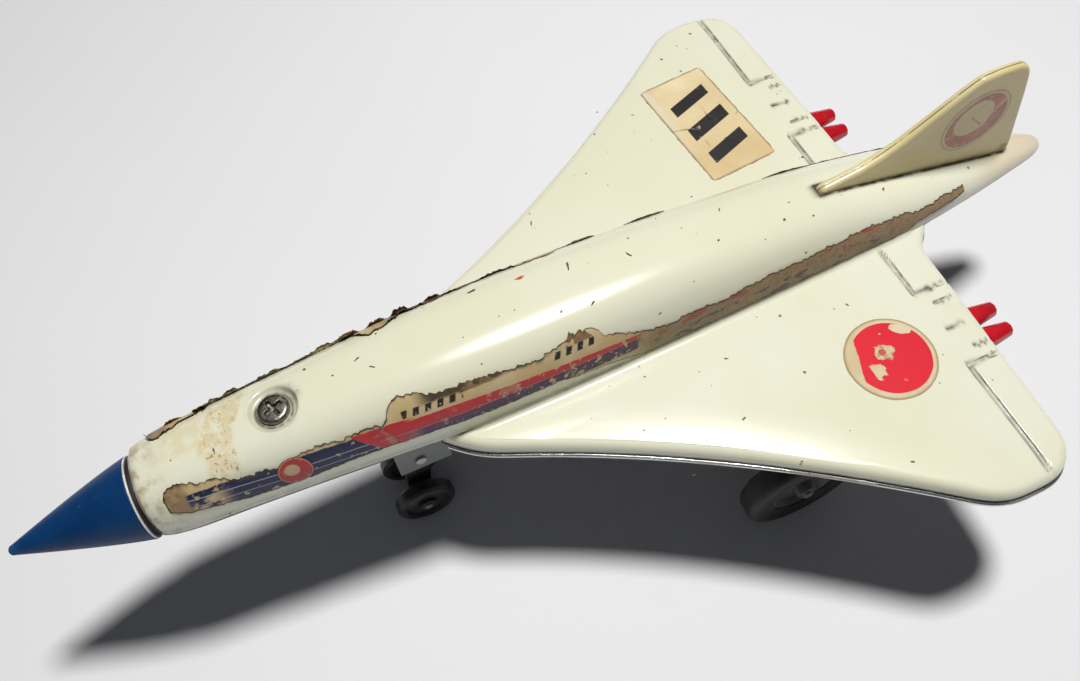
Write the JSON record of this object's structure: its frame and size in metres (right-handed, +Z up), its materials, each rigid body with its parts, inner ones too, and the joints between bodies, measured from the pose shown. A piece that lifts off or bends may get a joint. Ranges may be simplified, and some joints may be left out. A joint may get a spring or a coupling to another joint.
{
  "type": "toy airliner",
  "caption": "Delta-wing toy jet airliner with a pressed metal shell, plastic nose, fin and nozzles, free-rolling nose wheels and a geared friction flywheel motor on the main axle.",
  "frame": {"origin": "on the floor, under the middle of the length and of the span", "axes": "+Z up, the nose points along -Y, +X towards the port wing tip"},
  "size_m": [0.1802, 0.303, 0.1],
  "materials": {
    "enamel_cream": "glossy aged enamel",
    "tin_dark": "dark satin paint",
    "tin_bright": "bright rolled edge",
    "tin_silver": "plain plated sheet",
    "plastic_blue": "satin moulded",
    "plastic_white": "moulded",
    "plastic_cream": "yellowed moulded",
    "plastic_red": "glossy moulded",
    "plastic_grey": "moulded",
    "plastic_black": "moulded",
    "steel_dull": "tarnished",
    "hub_steel": "plated pressing",
    "tyre_black": "worn rubber",
    "gear_brass": "dull brass",
    "cast_weight": "as cast",
    "paper_red": "printed sticker, worn",
    "paper_tan": "aged printed sticker"
  },
  "bodies": {
    "airframe": {"upper_shell": "enamel_cream", "under_plate": "tin_dark", "belly_pan": "tin_dark", "rim_left": "tin_bright", "rim_right": "tin_bright", "nose_cone": "plastic_blue", "nose_collar": "plastic_white", "fin_left": "plastic_cream", "fin_right": "plastic_cream", "engine_pod_left": "tin_silver", "engine_pod_right": "tin_silver", "nozzle_left_outer": "plastic_red", "nozzle_left_inner": "plastic_red", "nozzle_right_inner": "plastic_red", "nozzle_right_outer": "plastic_red", "top_screw": "steel_dull", "screw_post": "steel_dull", "roundel_left": "paper_red", "label_right": "paper_tan", "nose_bracket": "plastic_grey", "nose_strut": "plastic_black", "nose_strut_pin": "steel_dull", "motor_plate_left": "tin_silver", "motor_plate_right": "tin_silver", "motor_spacers": "steel_dull", "main_leg_left": "tin_dark", "main_leg_right": "tin_dark", "belly_rivets": "steel_dull"},
    "nose_wheels": {"nose_axle": "steel_dull", "nose_wheel_left": "plastic_black", "nose_wheel_right": "plastic_black"},
    "main_wheels": {"main_axle": "steel_dull", "drive_gear": "gear_brass", "main_hub_left": "hub_steel", "main_tyre_left": "tyre_black", "main_hub_right": "hub_steel", "main_tyre_right": "tyre_black"},
    "transfer_gears": {"transfer_shaft": "steel_dull", "transfer_pinion": "gear_brass", "transfer_gear": "gear_brass"},
    "flywheel_set": {"flywheel_shaft": "steel_dull", "flywheel_pinion": "gear_brass", "flywheel": "cast_weight"}
  },
  "joints": [
    {"name": "nose_axle_spin", "type": "hinge", "parent": "airframe", "child": "nose_wheels", "pos_m": [0, -0.055, 0.0091], "axis": [1, 0, 0], "continuous": true},
    {"name": "main_axle_spin", "type": "hinge", "parent": "airframe", "child": "main_wheels", "pos_m": [0, 0.046, 0.018], "axis": [1, 0, 0], "continuous": true},
    {"name": "transfer_spin", "type": "hinge", "parent": "airframe", "child": "transfer_gears", "pos_m": [0, 0.04, 0.0302], "axis": [1, 0, 0], "continuous": true},
    {"name": "flywheel_spin", "type": "hinge", "parent": "airframe", "child": "flywheel_set", "pos_m": [0, 0.043, 0.04429], "axis": [1, 0, 0], "continuous": true}
  ],
  "couplings": [
    {"joint": "transfer_spin", "follows": "main_axle_spin", "ratio": -2.4},
    {"joint": "flywheel_spin", "follows": "main_axle_spin", "ratio": 6.24}
  ]
}
